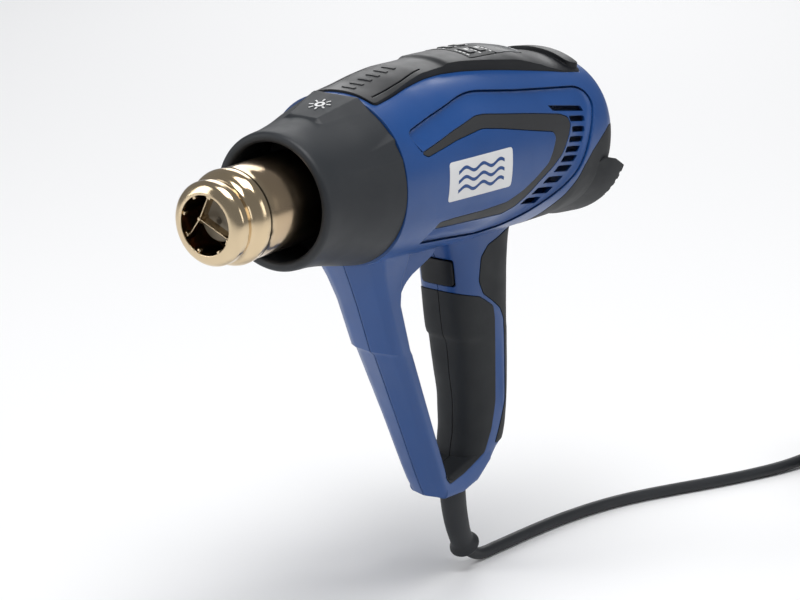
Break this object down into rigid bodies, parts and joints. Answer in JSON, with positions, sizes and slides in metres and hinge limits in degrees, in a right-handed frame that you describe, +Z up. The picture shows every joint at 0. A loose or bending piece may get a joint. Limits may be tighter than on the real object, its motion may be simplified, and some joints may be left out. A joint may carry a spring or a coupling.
{
  "type": "heat gun",
  "caption": "Corded hot-air gun with a steel outlet tube, heat-shielding nose, drooping barrel with side vents, top display panel and a closed D-shaped handle.",
  "frame": {"origin": "middle of the hand grip, on the mid plane", "axes": "+Z up, -X the way the hot air leaves, Y across; the nozzle axis is parallel to X"},
  "size_m": [0.4956, 0.2041, 0.2736],
  "materials": {
    "blue_plastic": "satin, fine texture",
    "black_plastic": "satin",
    "charcoal_plastic": "fine matt texture",
    "trim_grey": "matt",
    "soft_grip": "soft, matt",
    "cable_rubber": "matt",
    "straw_steel": "heat-tinted, polished",
    "steel": "plain",
    "copper": "drawn wire",
    "ceramic": "fired, matt",
    "mica": "pressed sheet",
    "board_green": "lacquered",
    "display": "clear, glossy",
    "label_film": "printed film",
    "white_plastic": "satin"
  },
  "bodies": {
    "gun": {"nozzle_tube": "straw_steel", "nozzle_star": "straw_steel", "heater_core": "ceramic", "heater_coil": "copper", "mica_sleeve": "mica", "heater_flange": "steel", "nose_cone": "charcoal_plastic", "housing_left": "blue_plastic", "housing_right": "blue_plastic", "side_trim_left": "trim_grey", "side_trim_right": "trim_grey", "grip_front_left": "soft_grip", "grip_front_right": "soft_grip", "rear_pad_left": "soft_grip", "rear_pad_right": "soft_grip", "rear_foot": "soft_grip", "top_cover": "black_plastic", "control_label": "label_film", "lcd_window": "display", "lcd_module": "white_plastic", "control_board": "board_green", "motor_can": "steel", "fan_shroud": "black_plastic", "motor_bracket": "black_plastic", "switch_body": "black_plastic", "capacitor": "board_green", "terminal_block": "white_plastic", "cord_clamp": "black_plastic", "clamp_screw_front": "steel", "clamp_screw_rear": "steel", "housing_screw_1": "steel", "housing_screw_2": "steel", "housing_screw_3": "steel", "housing_screw_4": "steel", "housing_screw_5": "steel", "strain_relief": "cable_rubber", "cord_tube": "cable_rubber", "cord_coil": "cable_rubber", "coil_tie": "black_plastic", "plug_body": "cable_rubber", "plug_pin_left": "steel", "plug_pin_right": "steel"},
    "rotor": {"fan_impeller": "black_plastic", "motor_shaft": "steel"},
    "rocker": {"switch_rocker": "black_plastic"},
    "key_temp_up": {"key_temp_up": "black_plastic"},
    "key_temp_down": {"key_temp_down": "black_plastic"},
    "key_air_up": {"key_air_up": "black_plastic"},
    "key_air_down": {"key_air_down": "black_plastic"}
  },
  "joints": [
    {"name": "fan_spin", "type": "hinge", "parent": "gun", "child": "rotor", "pos_m": [-0.109, 0, 0.105], "axis": [0.9982, 0, -0.0593], "continuous": true},
    {"name": "switch_rock", "type": "hinge", "parent": "gun", "child": "rocker", "pos_m": [-0.0275, 0, 0.0428], "axis": [0, 1, 0], "range_deg": [-6, 6]},
    {"name": "key_temp_up_press", "type": "slide", "parent": "gun", "child": "key_temp_up", "axis": [-0.0593, 0, -0.9982], "range_m": [0, 0.0006], "stiffness_N_per_m": 2500},
    {"name": "key_temp_down_press", "type": "slide", "parent": "gun", "child": "key_temp_down", "axis": [-0.0593, 0, -0.9982], "range_m": [0, 0.0006], "stiffness_N_per_m": 2500},
    {"name": "key_air_up_press", "type": "slide", "parent": "gun", "child": "key_air_up", "axis": [-0.0593, 0, -0.9982], "range_m": [0, 0.0006], "stiffness_N_per_m": 2500},
    {"name": "key_air_down_press", "type": "slide", "parent": "gun", "child": "key_air_down", "axis": [-0.0593, 0, -0.9982], "range_m": [0, 0.0006], "stiffness_N_per_m": 2500}
  ]
}
